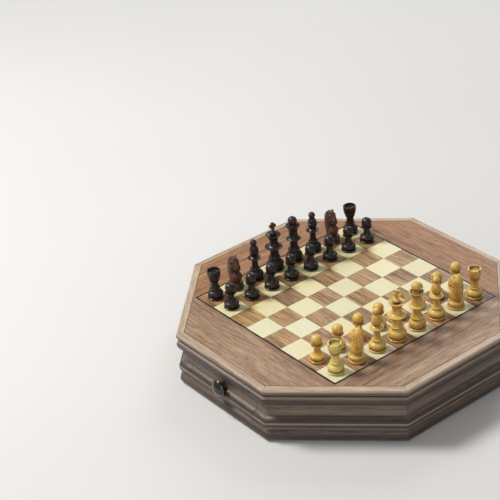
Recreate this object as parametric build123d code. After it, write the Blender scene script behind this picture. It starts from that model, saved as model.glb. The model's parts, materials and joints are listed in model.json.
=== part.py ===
from build123d import *
from math import atan2, cos, hypot, radians, sqrt, tan
import os

# Octagonal wooden chess board case with two drawers and a turned chess set.
# Millimetres, +Z up. The origin is the centre of the underside, and the front
# drawer opens towards -Y. The light pieces stand on the +X side of the board.

# Octagonal case
sides = 8
wall_thickness = 12.0

# Heights of the layers, from the table up
foot_thickness = 1.2
base_moulding_height = 11.3
lower_bead_height = 14.0
recess_height = 11.5
upper_bead_height = 13.0
top_moulding_height = 7.0

# Moulding profile: how far each narrow place lies inside the flats,
# and how high each bead's widest place is above the bottom of its layer
base_edge_inset = 1.5
base_neck_inset = 3.6
recess_inset = 5.5
top_neck_inset = 3.3
top_edge_inset = 1.8
base_crest_rise = 5.3
lower_crest_rise = 7.5
upper_crest_rise = 8.0
top_crest_rise = 3.8

# Top of the case
squares_per_side = 8
square_size = 26.0
inlay_width = 2.0
edge_strip_width = 8.0
corner_land = 2.1
veneer_thickness = 1.2
steel_thickness = 0.5
steel_margin = 2.0
pocket_clearance = 0.1

# Base board and its screws and feet
base_board_thickness = 5.0
base_rabbet = 6.0
base_screw_length = 10.0
base_screw_diameter = 3.0
base_screw_head_diameter = 6.0
base_screw_head_height = 1.8
base_screw_edge_distance = 3.0
screw_clearance = 0.05
felt_foot_diameter = 14.0
felt_foot_edge_distance = 12.0

# Inside of the case
corner_block_leg = 8.0
corner_block_gap = 1.3
divider_thickness = 3.0
guide_fence_thickness = 3.2
guide_ledge_width = 5.0
guide_lip_gap = 0.3
guide_side_gap = 0.3
running_gap = 0.1

# Drawers
drawer_seam = 0.4
drawer_stop_gap = 0.3
drawer_side_clearance = 0.5
drawer_side_thickness = 5.0
drawer_side_height = 24.6
drawer_bottom_thickness = 2.5
drawer_bottom_rise = 1.0
drawer_groove_depth = 2.0
drawer_groove_clearance = 0.05
insert_clearance = 0.2
insert_height = 7.5
insert_floor = 1.3
trough_pitch = 19.6
trough_radius = 9.5

# Drawer knob and its screw
knob_diameter = 18.0
knob_edge_height = 1.6
knob_dome_rise = 5.0
knob_bead_gap = 0.5
knob_neck_diameter = 8.0
knob_neck_flare = 1.0
knob_seat_clearance = 0.3
knob_screw_diameter = 4.0
knob_screw_head_diameter = 7.0
knob_screw_head_height = 2.2
knob_screw_reach = 7.0
knob_screw_land = 0.5

# Magnet and felt under each chess piece
felt_thickness = 0.6
felt_inset = 1.0
magnet_diameter = 8.0
magnet_height = 3.0
magnet_clearance = 0.05

# Foot of every chess piece: a rim, a groove and a round bulge
foot_edge_round = 0.5
foot_rim_height = 1.7
foot_groove_depth = 0.9
foot_groove_height = 1.3
bulge_inset = 0.4

# Rings, collars and crowns of the turned pieces
ring_height = 1.2
ring_proud = 0.9
collar_rim_height = 0.6
collar_underside_drop = 1.8
collar_top_rise = 2.4
neck_ring_proud = 0.7
crown_rim_height = 1.2
crown_lip = 1.0
crown_dish_depth = 1.2

# King, with levels above the board
king_height = 54.0
king_foot_diameter = 18.6
king_bulge_top_diameter = 14.8
king_bulge_level = 9.6
king_ring_diameter = 12.8
king_ring_level = 14.4
king_stem_diameter = 9.0
king_stem_level = 20.0
king_collar_diameter = 18.4
king_collar_level = 26.4
king_neck_diameter = 8.6
king_neck_level = 32.4
king_crown_diameter = 15.6
king_crown_level = 41.0
king_knop_diameter = 4.8
king_knop_level = 44.4
king_pin_diameter = 2.8
king_pin_level = 47.2
king_cross_width = 7.2
king_cross_thickness = 2.8
king_cross_arm_height = 2.8
king_cross_arm_level = 50.6

# Queen
queen_height = 51.0
queen_foot_diameter = 17.4
queen_bulge_top_diameter = 14.2
queen_bulge_level = 9.0
queen_ring_diameter = 13.0
queen_ring_level = 13.0
queen_stem_diameter = 8.2
queen_stem_level = 20.0
queen_collar_diameter = 15.2
queen_collar_level = 25.0
queen_neck_diameter = 9.0
queen_neck_level = 32.0
queen_crown_diameter = 14.8
queen_crown_level = 40.8
queen_ball_diameter = 9.6
queen_ball_seat_diameter = 7.0

# Bishop
bishop_height = 45.6
bishop_foot_diameter = 17.2
bishop_bulge_top_diameter = 12.4
bishop_bulge_level = 8.6
bishop_ring_diameter = 10.4
bishop_ring_level = 12.0
bishop_stem_diameter = 6.4
bishop_stem_level = 17.6
bishop_collar_diameter = 13.6
bishop_collar_level = 24.2
bishop_neck_diameter = 6.2
bishop_head_diameter = 9.8
bishop_head_level = 31.6
bishop_tip_diameter = 4.6
bishop_ball_diameter = 7.2
bishop_slit_width = 1.1
bishop_slit_depth = 3.8
bishop_slit_level = 35.2
bishop_slit_tilt = 35.0

# Rook
rook_height = 32.4
rook_foot_diameter = 16.4
rook_bulge_top_diameter = 12.8
rook_bulge_level = 8.4
rook_ring_diameter = 11.0
rook_ring_level = 11.8
rook_stem_diameter = 7.8
rook_stem_level = 19.4
rook_neck_ring_level = 21.0
rook_cup_diameter = 10.8
rook_cup_level = 22.4
rook_rim_diameter = 13.6
rook_wall = 1.4
rook_cup_depth = 2.8
rook_slit_width = 1.2
rook_slit_depth = 2.0

# Pawn
pawn_height = 28.0
pawn_foot_diameter = 15.6
pawn_bulge_top_diameter = 10.6
pawn_bulge_level = 7.6
pawn_neck_diameter = 6.8
pawn_neck_level = 12.6
pawn_collar_diameter = 11.4
pawn_collar_level = 17.4
pawn_ball_diameter = 10.6

# Knight: a carved head on a turned foot
knight_height = 37.4
knight_foot_diameter = 17.0
knight_bulge_top_diameter = 12.4
knight_bulge_level = 8.0
knight_waist_diameter = 9.8
knight_waist_height = 1.4
knight_head_depth = 16.4
knight_head_thickness = 11.6
knight_brow_thickness = 8.6
knight_ear_gap = 1.8
knight_ear_height = 2.6

# Sizes that follow from the ones above
field_half = squares_per_side * square_size / 2
border_inner_half = field_half + inlay_width
border_outer_half = border_inner_half * sqrt(2) + corner_land
half_flats = border_outer_half + edge_strip_width
half_corner_angle = 180 / sides
inner_half_flats = half_flats - wall_thickness
base_moulding_level = foot_thickness
side_board_level = base_moulding_level + base_moulding_height
recess_level = side_board_level + lower_bead_height
upper_bead_level = recess_level + recess_height
top_moulding_level = upper_bead_level + upper_bead_height
board_level = top_moulding_level + top_moulding_height
veneer_level = board_level - veneer_thickness
opening_bottom = side_board_level + lower_crest_rise
opening_top = upper_bead_level + upper_crest_rise
base_board_top = base_moulding_level + base_board_thickness
inner_side_half = inner_half_flats * tan(radians(half_corner_angle))
guide_fence_outer = inner_side_half - corner_block_leg - corner_block_gap
guide_fence_inner = guide_fence_outer - guide_fence_thickness
drawer_half_width = guide_fence_inner - guide_side_gap
drawer_inner_half = drawer_half_width - drawer_side_thickness
drawer_opening_half = drawer_half_width + drawer_side_clearance
guide_ledge_inner = guide_fence_inner - guide_ledge_width
drawer_level = opening_bottom + drawer_seam
drawer_top = drawer_level + drawer_side_height
drawer_rear = divider_thickness / 2 + drawer_stop_gap
drawer_bottom_level = drawer_level + drawer_bottom_rise
drawer_floor_level = drawer_bottom_level + drawer_bottom_thickness
recess_face = half_flats - recess_inset
knob_level = drawer_floor_level + knob_screw_land + knob_screw_head_diameter / 2


UPRIGHT = (Align.CENTER, Align.CENTER, Align.MIN)


def block(x_from, x_to, y_from, y_to, z_from, z_to):
    """A rectangular block between two corners."""
    size = (x_to - x_from, y_to - y_from, z_to - z_from)
    return Pos(x_from, y_from, z_from) * Box(*size, align=(Align.MIN, Align.MIN, Align.MIN))


def prism(points, level, height):
    """An upright prism over a polygon in the XY plane."""
    outline = Wire.make_polygon([(x, y, level) for x, y in points], close=True)
    return extrude(Face(outline), amount=height, dir=(0, 0, 1))


def octagon(half_width, level, height):
    """An octagonal plate with flats on the X and Y axes."""
    side_half = half_width * tan(radians(half_corner_angle))
    corner = (side_half, -half_width)
    points = [(Rot(0, 0, turn * 360 / sides) * Pos(*corner, 0)).position for turn in range(sides)]
    return prism([(point.X, point.Y) for point in points], level, height)


def outline_edges(outline):
    """Edges of a profile in the XZ plane. Each stretch ends at (x, height, bow).

    Bow is how far the stretch bulges outward, as a share of its length.
    """
    edges = []
    for (x0, h0, _), (x1, h1, bow) in zip(outline, outline[1:]):
        start = Vector(x0, 0, h0)
        end = Vector(x1, 0, h1)
        if bow == 0:
            edges.append(Edge.make_line(start, end))
        else:
            outward = Vector(h1 - h0, 0, x0 - x1)
            edges.append(Edge.make_three_point_arc(start, (start + end) / 2 + outward * bow, end))
    return edges


def turning(outline):
    """Revolve an outline about Z. It starts at the bottom and ends on the axis."""
    radius, bottom, _ = outline[0]
    top = outline[-1][1]
    edges = outline_edges(outline)
    edges.append(Edge.make_line((0, 0, top), (0, 0, bottom)))
    edges.append(Edge.make_line((0, 0, bottom), (radius, 0, bottom)))
    return revolve(Face(Wire(edges)), Axis.Z, 360)


def bead(bottom, crest_level, top):
    """Two arcs of a side profile that meet at the bead's widest place, on the flats."""
    crest = (0, -half_flats, crest_level)
    lower = Edge.make_tangent_arc(crest, (0, 0, -1), (0, -half_flats + bottom[0], bottom[1]))
    upper = Edge.make_tangent_arc(crest, (0, 0, 1), (0, -half_flats + top[0], top[1]))
    return [lower, upper]


def profile_line(start, end):
    """A straight stretch of a side profile, from and to (inset, level)."""
    return Edge.make_line((0, -half_flats + start[0], start[1]), (0, -half_flats + end[0], end[1]))


def mitred_length(edges, level, height):
    """A moulding on the -Y side whose ends are mitred to meet the next ones."""
    section = Face(Wire(edges))
    bar = extrude(section, amount=half_flats, dir=(1, 0, 0), both=True)
    reach = half_flats + wall_thickness
    side_half = reach * tan(radians(half_corner_angle))
    wedge = prism([(0, 0), (-side_half, -reach), (side_half, -reach)], level, height)
    return bar & wedge


def around(shape, count=sides):
    """Copies of a shape turned evenly round the Z axis."""
    return [Rot(0, 0, turn * 360 / count) * shape for turn in range(count)]


def side_board():
    """One side of the case: two beads with a flat recess between them."""
    bottom = (base_neck_inset, side_board_level)
    recess_low = (recess_inset, recess_level)
    recess_high = (recess_inset, upper_bead_level)
    top = (top_neck_inset, top_moulding_level)
    inner_top = (wall_thickness, top_moulding_level)
    inner_bottom = (wall_thickness, side_board_level)
    edges = bead(bottom, side_board_level + lower_crest_rise, recess_low)
    edges.append(profile_line(recess_low, recess_high))
    edges += bead(recess_high, upper_bead_level + upper_crest_rise, top)
    edges.append(profile_line(top, inner_top))
    edges.append(profile_line(inner_top, inner_bottom))
    edges.append(profile_line(inner_bottom, bottom))
    return mitred_length(edges, side_board_level, top_moulding_level - side_board_level)


def top_moulding():
    """One side of the rounded moulding that frames the top."""
    bottom = (top_neck_inset, top_moulding_level)
    top = (top_edge_inset, board_level)
    inner_top = (edge_strip_width, board_level)
    inner_bottom = (edge_strip_width, top_moulding_level)
    edges = bead(bottom, top_moulding_level + top_crest_rise, top)
    edges.append(profile_line(top, inner_top))
    edges.append(profile_line(inner_top, inner_bottom))
    edges.append(profile_line(inner_bottom, bottom))
    return mitred_length(edges, top_moulding_level, top_moulding_height)


def base_moulding():
    """One side of the base moulding, rabbeted for the base board."""
    bottom = (base_edge_inset, base_moulding_level)
    top = (base_neck_inset, side_board_level)
    inner_top = (wall_thickness, side_board_level)
    rabbet_top = (wall_thickness, base_board_top)
    rabbet_corner = (base_rabbet, base_board_top)
    rabbet_bottom = (base_rabbet, base_moulding_level)
    edges = bead(bottom, base_moulding_level + base_crest_rise, top)
    edges.append(profile_line(top, inner_top))
    edges.append(profile_line(inner_top, rabbet_top))
    edges.append(profile_line(rabbet_top, rabbet_corner))
    edges.append(profile_line(rabbet_corner, rabbet_bottom))
    edges.append(profile_line(rabbet_bottom, bottom))
    moulding = mitred_length(edges, base_moulding_level, base_moulding_height)
    return moulding - base_screw(screw_clearance)


def base_screw(clearance=0.0):
    """A countersunk screw from the base board up into the base moulding."""
    head_radius = base_screw_head_diameter / 2 + clearance
    shank_radius = base_screw_diameter / 2 + clearance
    outline = [
        (head_radius, 0, 0),
        (shank_radius, base_screw_head_height, 0),
        (shank_radius, base_screw_length + clearance, 0),
        (0, base_screw_length + clearance, 0),
    ]
    inset = base_rabbet + base_screw_edge_distance
    return Pos(0, inset - half_flats, base_moulding_level) * turning(outline)


def base_board():
    """The octagonal base board with its screw holes."""
    board = octagon(half_flats - base_rabbet, base_moulding_level, base_board_thickness)
    for hole in around(base_screw(screw_clearance)):
        board -= hole
    return board


def felt_foot():
    """A felt disc under the base board, near a corner of the octagon."""
    corner_radius = (half_flats - base_rabbet) / cos(radians(half_corner_angle))
    disc = Cylinder(felt_foot_diameter / 2, foot_thickness, align=UPRIGHT)
    foot = Pos(corner_radius - felt_foot_edge_distance, 0, 0) * disc
    return Rot(0, 0, half_corner_angle) * foot


def top_board():
    """The board that carries the veneers, with a pocket for the steel sheet."""
    height = top_moulding_height - veneer_thickness
    board = octagon(border_outer_half, top_moulding_level, height)
    pocket = steel_half() + pocket_clearance
    return board - block(-pocket, pocket, -pocket, pocket, veneer_level - steel_thickness, veneer_level)


def steel_half():
    """Half the side of the steel sheet."""
    return field_half - steel_margin


def steel_sheet():
    """The steel sheet under the field that holds the magnets."""
    half = steel_half()
    return block(-half, half, -half, half, veneer_level - steel_thickness, veneer_level)


def square_tile(column, row):
    """One square of the field. Column counts along +X, row along +Y."""
    x = column * square_size - field_half
    y = row * square_size - field_half
    return block(x, x + square_size, y, y + square_size, veneer_level, board_level)


def squares(shade):
    """All squares of one shade: 0 is dark, 1 is light."""
    cells = range(squares_per_side)
    return [square_tile(i, j) for i in cells for j in cells if (i + j) % 2 == shade]


def inlay_line():
    """One mitred length of the black line, on the -Y side of the field."""
    points = [
        (-field_half, -field_half),
        (field_half, -field_half),
        (border_inner_half, -border_inner_half),
        (-border_inner_half, -border_inner_half),
    ]
    return prism(points, veneer_level, veneer_thickness)


def border_veneer():
    """The border on the -Y side, between the inlay line and the top moulding."""
    side_half = border_outer_half * tan(radians(half_corner_angle))
    joint = border_outer_half / sqrt(2)
    points = [
        (-joint, -joint),
        (-border_inner_half, -border_inner_half),
        (border_inner_half, -border_inner_half),
        (joint, -joint),
        (side_half, -border_outer_half),
        (-side_half, -border_outer_half),
    ]
    return prism(points, veneer_level, veneer_thickness)


def drawer_opening():
    """The opening in the front side board, from bead crest to bead crest."""
    half = drawer_opening_half
    outside = half_flats + wall_thickness
    return block(-half, half, -outside, -inner_half_flats, opening_bottom, opening_top)


def corner_block():
    """A glue block in the corner between two side boards."""
    corner = (inner_side_half, -inner_half_flats)
    along = corner_block_leg * cos(radians(2 * half_corner_angle))
    points = [corner, (inner_side_half - corner_block_leg, -inner_half_flats)]
    points.append((inner_side_half + along, -inner_half_flats + along))
    return prism(points, side_board_level, top_moulding_level - side_board_level)


def drawer_guide():
    """The channel that carries one side of both drawers, on the +X side."""
    inner = guide_ledge_inner
    reach = inner_half_flats
    rail = block(inner, guide_fence_outer, -reach, reach, base_board_top, top_moulding_level)
    ledge_top = drawer_level - running_gap
    return rail - block(inner, guide_fence_inner, -reach, reach, ledge_top, drawer_top + guide_lip_gap)


def centre_divider():
    """The upright board between the two drawers, which stops them."""
    half = guide_ledge_inner
    thickness = divider_thickness / 2
    return block(-half, half, -thickness, thickness, base_board_top, top_moulding_level)


def drawer_bottom(clearance=0.0):
    """The drawer bottom, which slides into grooves in the sides and the front."""
    half = drawer_inner_half + drawer_groove_depth - drawer_groove_clearance + clearance
    front = inner_half_flats + drawer_groove_depth - drawer_groove_clearance + clearance
    low = drawer_bottom_level - clearance
    return block(-half, half, -front, -drawer_rear, low, drawer_floor_level + clearance)


def drawer_front():
    """The drawer front, sawn from the side board with the knob screw's hole."""
    half = drawer_opening_half - drawer_seam
    outside = half_flats + wall_thickness
    blank = block(-half, half, -outside, -inner_half_flats, drawer_level, opening_top - drawer_seam)
    seat_radius = knob_neck_diameter / 2 + knob_neck_flare + knob_seat_clearance
    seat = Cylinder(seat_radius, wall_thickness, align=UPRIGHT)
    front = (side_board() & blank) - Pos(0, -recess_face, knob_level) * Rot(90, 0, 0) * seat
    return front - drawer_bottom(drawer_groove_clearance) - knob_screw(screw_clearance)


def drawer_box():
    """Two grooved sides and the back that stands on the bottom."""
    side = block(
        drawer_inner_half, drawer_half_width, -inner_half_flats, -drawer_rear, drawer_level, drawer_top
    )
    groove = drawer_bottom(drawer_groove_clearance)
    other_side = mirror(side, Plane.YZ)
    inner = drawer_inner_half
    back_front = drawer_rear + drawer_side_thickness
    back = block(-inner, inner, -back_front, -drawer_rear, drawer_floor_level, drawer_top)
    return [side - groove, other_side - groove, back]


def drawer_insert():
    """The felt covered block with half round troughs across the drawer."""
    half = drawer_inner_half - insert_clearance
    front = inner_half_flats - insert_clearance
    rear = drawer_rear + drawer_side_thickness + insert_clearance
    top = drawer_floor_level + insert_height
    insert = block(-half, half, -front, -rear, drawer_floor_level, top)
    middle = (front + rear) / 2
    axis_level = drawer_floor_level + insert_floor + trough_radius
    troughs = int((front - rear) // trough_pitch)
    for trough in range(troughs):
        offset = (trough - (troughs - 1) / 2) * trough_pitch
        insert -= Pos(0, offset - middle, axis_level) * Rot(0, 90, 0) * Cylinder(trough_radius, 2 * half)
    return insert


def knob():
    """The turned mushroom knob on its neck, with a blind hole for its screw."""
    neck = knob_neck_diameter / 2
    radius = knob_diameter / 2
    back = recess_inset + knob_bead_gap
    edge = back + knob_edge_height
    dome_bow = tan(atan2(knob_dome_rise, radius) / 2) / 2
    outline = [
        (neck + knob_neck_flare, 0, 0),
        (neck, back - knob_neck_flare, -0.05),
        (neck + knob_neck_flare, back, -0.2),
        (radius - knob_edge_height, back, 0),
        (radius, edge, 0.2),
        (0, edge + knob_dome_rise, dome_bow),
    ]
    body = Pos(0, -recess_face, knob_level) * Rot(90, 0, 0) * turning(outline)
    return body - knob_screw(screw_clearance)


def knob_screw(clearance=0.0):
    """The screw from the back of the drawer front into the knob."""
    head_radius = knob_screw_head_diameter / 2 + clearance
    shank_radius = knob_screw_diameter / 2 + clearance
    length = recess_face - inner_half_flats + knob_screw_reach + clearance
    outline = [
        (head_radius, 0, 0),
        (head_radius, knob_screw_head_height, 0),
        (shank_radius, knob_screw_head_height, 0),
        (shank_radius, length, 0),
        (0, length, 0),
    ]
    return Pos(0, -inner_half_flats, knob_level) * Rot(90, 0, 0) * turning(outline)


def foot_outline(foot_diameter, bulge_top_diameter, bulge_level):
    """The rim, groove and bulge that every chess piece stands on."""
    radius = foot_diameter / 2
    rim_top = felt_thickness + foot_rim_height
    groove_top = rim_top + foot_groove_height
    start = radius - foot_groove_depth
    end = bulge_top_diameter / 2
    bow = (radius - bulge_inset - (start + end) / 2) / hypot(start - end, bulge_level - groove_top)
    return [
        (radius - foot_edge_round, felt_thickness, 0),
        (radius, felt_thickness + foot_edge_round, 0.2),
        (radius, rim_top - foot_edge_round, 0),
        (start - foot_edge_round, rim_top, 0.1),
        (start, groove_top, 0),
        (end, bulge_level, bow),
    ]


def ring_outline(diameter, level):
    """A thin ring turned on the stem, with its hollow underside."""
    radius = diameter / 2
    return [
        (radius - ring_proud, level - ring_height, -0.12),
        (radius, level - ring_height / 2, 0.15),
        (radius, level, 0.1),
        (radius - ring_proud, level + ring_height / 4, 0),
    ]


def collar_outline(diameter, level, stem_diameter):
    """The thin disc at the top of the stem."""
    return [
        (stem_diameter / 2, level - collar_underside_drop, -0.04),
        (diameter / 2, level, -0.08),
        (diameter / 2, level + collar_rim_height, 0.3),
    ]


def crown_outline(collar_level, neck_diameter, neck_level, crown_diameter, crown_level):
    """The cup above the collar, widening to a dished crown."""
    rim = crown_diameter / 2
    neck = neck_diameter / 2
    collar_top = collar_level + collar_top_rise
    return [
        (neck + neck_ring_proud, collar_top, -0.08),
        (neck + neck_ring_proud, collar_top + ring_height / 2, 0.3),
        (neck, neck_level, -0.05),
        (rim - crown_rim_height / 2, crown_level - crown_rim_height, -0.1),
        (rim, crown_level - crown_rim_height / 2, 0),
        (rim, crown_level, 0.1),
        (rim - crown_lip, crown_level, 0),
    ]


def king_body():
    """The king: a dished crown with a cross on a small knop."""
    dish = king_crown_level - crown_dish_depth
    pin = king_pin_diameter / 2
    outline = foot_outline(king_foot_diameter, king_bulge_top_diameter, king_bulge_level)
    outline += ring_outline(king_ring_diameter, king_ring_level)
    outline.append((king_stem_diameter / 2, king_stem_level, -0.08))
    outline += collar_outline(king_collar_diameter, king_collar_level, king_stem_diameter)
    outline += crown_outline(
        king_collar_level, king_neck_diameter, king_neck_level, king_crown_diameter, king_crown_level
    )
    outline += [
        (king_knop_diameter / 2, dish, -0.04),
        (king_knop_diameter / 2, king_knop_level, 0.25),
        (pin, king_pin_level, -0.15),
        (0, king_pin_level, 0),
    ]
    half_width = king_cross_width / 2
    half = king_cross_thickness / 2
    arm_bottom = king_cross_arm_level - king_cross_arm_height / 2
    foot_level = king_pin_level - king_cross_thickness / 4
    upright = block(-half, half, -half, half, foot_level, king_height)
    arms = block(-half, half, -half_width, half_width, arm_bottom, arm_bottom + king_cross_arm_height)
    return turning(outline) + (upright + arms)


def queen_body():
    """The queen: a dished crown with a large ball in it."""
    ball = queen_ball_diameter / 2
    centre = queen_height - ball
    dish = queen_crown_level - crown_dish_depth
    seat = queen_ball_seat_diameter / 2
    seat_level = centre - sqrt(ball**2 - seat**2)
    outline = foot_outline(queen_foot_diameter, queen_bulge_top_diameter, queen_bulge_level)
    outline += ring_outline(queen_ring_diameter, queen_ring_level)
    outline.append((queen_stem_diameter / 2, queen_stem_level, -0.08))
    outline += collar_outline(queen_collar_diameter, queen_collar_level, queen_stem_diameter)
    outline += crown_outline(
        queen_collar_level, queen_neck_diameter, queen_neck_level, queen_crown_diameter, queen_crown_level
    )
    outline += [
        (seat + crown_lip, dish, -0.04),
        (seat, seat_level, -0.1),
        (0, seat_level, 0),
    ]
    return turning(outline) + Pos(0, 0, centre) * Sphere(ball)


def bishop_body():
    """The bishop: a pointed head with a slit and a small ball."""
    ball = bishop_ball_diameter / 2
    centre = bishop_height - ball
    tip = bishop_tip_diameter / 2
    tip_level = centre - sqrt(ball**2 - tip**2)
    neck_level = bishop_collar_level + collar_top_rise
    outline = foot_outline(bishop_foot_diameter, bishop_bulge_top_diameter, bishop_bulge_level)
    outline += ring_outline(bishop_ring_diameter, bishop_ring_level)
    outline.append((bishop_stem_diameter / 2, bishop_stem_level, -0.08))
    outline += collar_outline(bishop_collar_diameter, bishop_collar_level, bishop_stem_diameter)
    outline += [
        (bishop_neck_diameter / 2, neck_level, -0.08),
        (bishop_head_diameter / 2, bishop_head_level, 0.06),
        (tip, tip_level, 0.1),
        (0, tip_level, 0),
    ]
    body = turning(outline) + Pos(0, 0, centre) * Sphere(ball)
    reach = bishop_head_diameter
    slit = block(-reach, reach, -reach, 0, 0, bishop_slit_width)
    mouth = bishop_slit_depth - bishop_head_diameter / 2
    place = Pos(0, mouth, bishop_slit_level) * Rot(bishop_slit_tilt, 0, 0)
    return body - place * slit


def rook_body():
    """The rook: a round cup with a slit rim."""
    rim = rook_rim_diameter / 2
    cup = rook_cup_diameter / 2
    inner = rim - rook_wall
    floor = rook_height - rook_cup_depth
    outline = foot_outline(rook_foot_diameter, rook_bulge_top_diameter, rook_bulge_level)
    outline += ring_outline(rook_ring_diameter, rook_ring_level)
    outline.append((rook_stem_diameter / 2, rook_stem_level, -0.05))
    outline += ring_outline(rook_cup_diameter - ring_proud, rook_neck_ring_level)
    outline += [
        (cup, rook_cup_level, 0),
        (rim, rook_height - foot_edge_round, 0.06),
        (rim - foot_edge_round, rook_height, 0.2),
        (inner, rook_height, 0),
        (inner - foot_edge_round, floor + foot_edge_round, 0),
        (inner - rook_wall, floor, -0.2),
        (0, floor, 0),
    ]
    body = turning(outline)
    half = rook_slit_width / 2
    for turn in range(2):
        saw_cut = block(-2 * rim, 2 * rim, -half, half, rook_height - rook_slit_depth, rook_height)
        body -= Rot(0, 0, turn * 90) * saw_cut
    return body


def pawn_body():
    """The pawn: a ball on a thin collar."""
    ball = pawn_ball_diameter / 2
    centre = pawn_height - ball
    neck = pawn_neck_diameter / 2
    collar_top = pawn_collar_level + collar_rim_height
    seat = neck + neck_ring_proud
    outline = foot_outline(pawn_foot_diameter, pawn_bulge_top_diameter, pawn_bulge_level)
    outline.append((neck, pawn_neck_level, -0.12))
    outline += collar_outline(pawn_collar_diameter, pawn_collar_level, pawn_neck_diameter)
    outline += [
        (seat, collar_top, 0),
        (seat, centre - sqrt(ball**2 - seat**2), 0),
        (0, centre - sqrt(ball**2 - seat**2), 0),
    ]
    return turning(outline) + Pos(0, 0, centre) * Sphere(ball)


def knight_head(seat):
    """The knight's head, facing +X: a side outline and a front outline sawn through each other."""
    depth = knight_head_depth / 2
    height = knight_height - seat
    side = [
        (-0.66, 0.0, 0),
        (0.62, 0.0, 0),
        (0.78, 0.16, 0.12),
        (0.30, 0.47, 0.06),
        (0.44, 0.53, -0.1),
        (0.80, 0.50, 0.1),
        (1.0, 0.58, 0.12),
        (0.98, 0.68, 0.1),
        (0.16, 0.91, 0.06),
        (-0.06, 1.0, -0.05),
        (-0.36, 0.92, 0.05),
        (-0.92, 0.66, 0.12),
        (-0.98, 0.34, 0.04),
        (-0.66, 0.0, 0.05),
    ]
    profile = [(x * depth, seat + h * height, bow) for x, h, bow in side]
    slab = extrude(Face(Wire(outline_edges(profile))), amount=knight_head_thickness, dir=(0, 1, 0), both=True)
    wide = knight_head_thickness / 2
    brow = knight_brow_thickness / 2
    ear_gap = knight_ear_gap / 2
    front = [
        (-wide, seat),
        (wide, seat),
        (wide, seat + height / 2),
        (brow, knight_height),
        (ear_gap, knight_height),
        (0, knight_height - knight_ear_height),
        (-ear_gap, knight_height),
        (-brow, knight_height),
        (-wide, seat + height / 2),
    ]
    reach = knight_head_depth
    outline = Wire.make_polygon([(-reach, y, z) for y, z in front], close=True)
    return slab & extrude(Face(outline), amount=2 * reach, dir=(1, 0, 0))


def knight_body():
    """The knight: a turned foot with a narrow waist under the carved head."""
    waist = knight_waist_diameter / 2
    seat = knight_bulge_level + knight_waist_height
    head_foot = seat + knight_waist_height
    outline = foot_outline(knight_foot_diameter, knight_bulge_top_diameter, knight_bulge_level)
    outline += [(waist, seat, -0.1), (waist, head_foot, 0), (0, head_foot, 0)]
    return turning(outline) + knight_head(seat)


def with_magnet_socket(body):
    """Bore the socket for the magnet into a turned body."""
    radius = magnet_diameter / 2 + magnet_clearance
    socket = Cylinder(radius, magnet_height + magnet_clearance, align=UPRIGHT)
    return body - Pos(0, 0, felt_thickness) * socket


def fittings(foot_diameter):
    """The magnet and the felt disc under a piece."""
    magnet = Pos(0, 0, felt_thickness) * Cylinder(magnet_diameter / 2, magnet_height, align=UPRIGHT)
    felt = Cylinder(foot_diameter / 2 - felt_inset, felt_thickness, align=UPRIGHT)
    return [magnet, felt]


kinds = {
    "king": (king_body, king_foot_diameter),
    "queen": (queen_body, queen_foot_diameter),
    "bishop": (bishop_body, bishop_foot_diameter),
    "rook": (rook_body, rook_foot_diameter),
    "knight": (knight_body, knight_foot_diameter),
    "pawn": (pawn_body, pawn_foot_diameter),
}
back_row = ["rook", "knight", "bishop", "king", "queen", "bishop", "knight", "rook"]


def place_of(column, row):
    """The middle of a square on top of the board."""
    x = (column + 0.5) * square_size - field_half
    y = (row + 0.5) * square_size - field_half
    return Pos(x, y, board_level)


def chess_set():
    """Every chess piece on its square, by node name."""
    solids = {}
    for name, (make, foot_diameter) in kinds.items():
        solids[name] = [with_magnet_socket(make())] + fittings(foot_diameter)
    placed = {}
    for shade, back_column, pawn_column, turn in (
        ("dark", 0, 1, 0),
        ("light", squares_per_side - 1, squares_per_side - 2, 180),
    ):
        counts = {}
        for row in range(squares_per_side):
            for name, column in ((back_row[row], back_column), ("pawn", pawn_column)):
                counts[name] = counts.get(name, 0) + 1
                single = name in ("king", "queen")
                label = f"{shade}_{name}" if single else f"{shade}_{name}_{counts[name]}"
                place = place_of(column, row) * Rot(0, 0, turn)
                placed[label] = [place * solid for solid in solids[name]]
    return placed


def case_nodes():
    """The fixed pieces of the case, by node name."""
    plain_turns = [turn for turn in range(sides) if turn % (sides // 2)]
    frame = side_board() - drawer_opening()
    guide = drawer_guide()
    return {
        "light_squares": squares(1),
        "dark_squares": squares(0),
        "inlay_lines": around(inlay_line(), 4),
        "border_veneers": around(border_veneer(), 4),
        "steel_sheet": [steel_sheet()],
        "top_board": [top_board()],
        "top_moulding": around(top_moulding()),
        "side_boards": [Rot(0, 0, turn * 360 / sides) * side_board() for turn in plain_turns],
        "drawer_side_frames": around(frame, 2),
        "base_moulding": around(base_moulding()),
        "base_board": [base_board()],
        "base_screws": around(base_screw()),
        "felt_feet": around(felt_foot()),
        "corner_blocks": around(corner_block()),
        "drawer_guides": [guide, mirror(guide, Plane.YZ)],
        "centre_divider": [centre_divider()],
    }


def drawer_nodes(prefix, turn):
    """The pieces of one drawer, turned about Z to its side of the case."""
    parts = {
        "drawer_front": [drawer_front()],
        "drawer_box": drawer_box(),
        "drawer_bottom": [drawer_bottom()],
        "drawer_insert": [drawer_insert()],
        "drawer_knob": [knob()],
        "drawer_knob_screw": [knob_screw()],
    }
    return {
        f"{prefix}_{name}": [Rot(0, 0, turn) * solid for solid in solids]
        for name, solids in parts.items()
    }


def all_nodes():
    """Every node of the object with its solids."""
    nodes = case_nodes()
    nodes.update(drawer_nodes("front", 0))
    nodes.update(drawer_nodes("rear", 180))
    nodes.update(chess_set())
    return nodes


os.makedirs("parts", exist_ok=True)
for node, shapes in all_nodes().items():
    solids = [solid for shape in shapes for solid in shape.solids()]
    export_step(Compound(solids), f"parts/{node}.step")
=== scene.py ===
import json
from math import cos, pi, radians, sin, tan

import bpy
import numpy as np
from mathutils import Matrix, Vector


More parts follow.
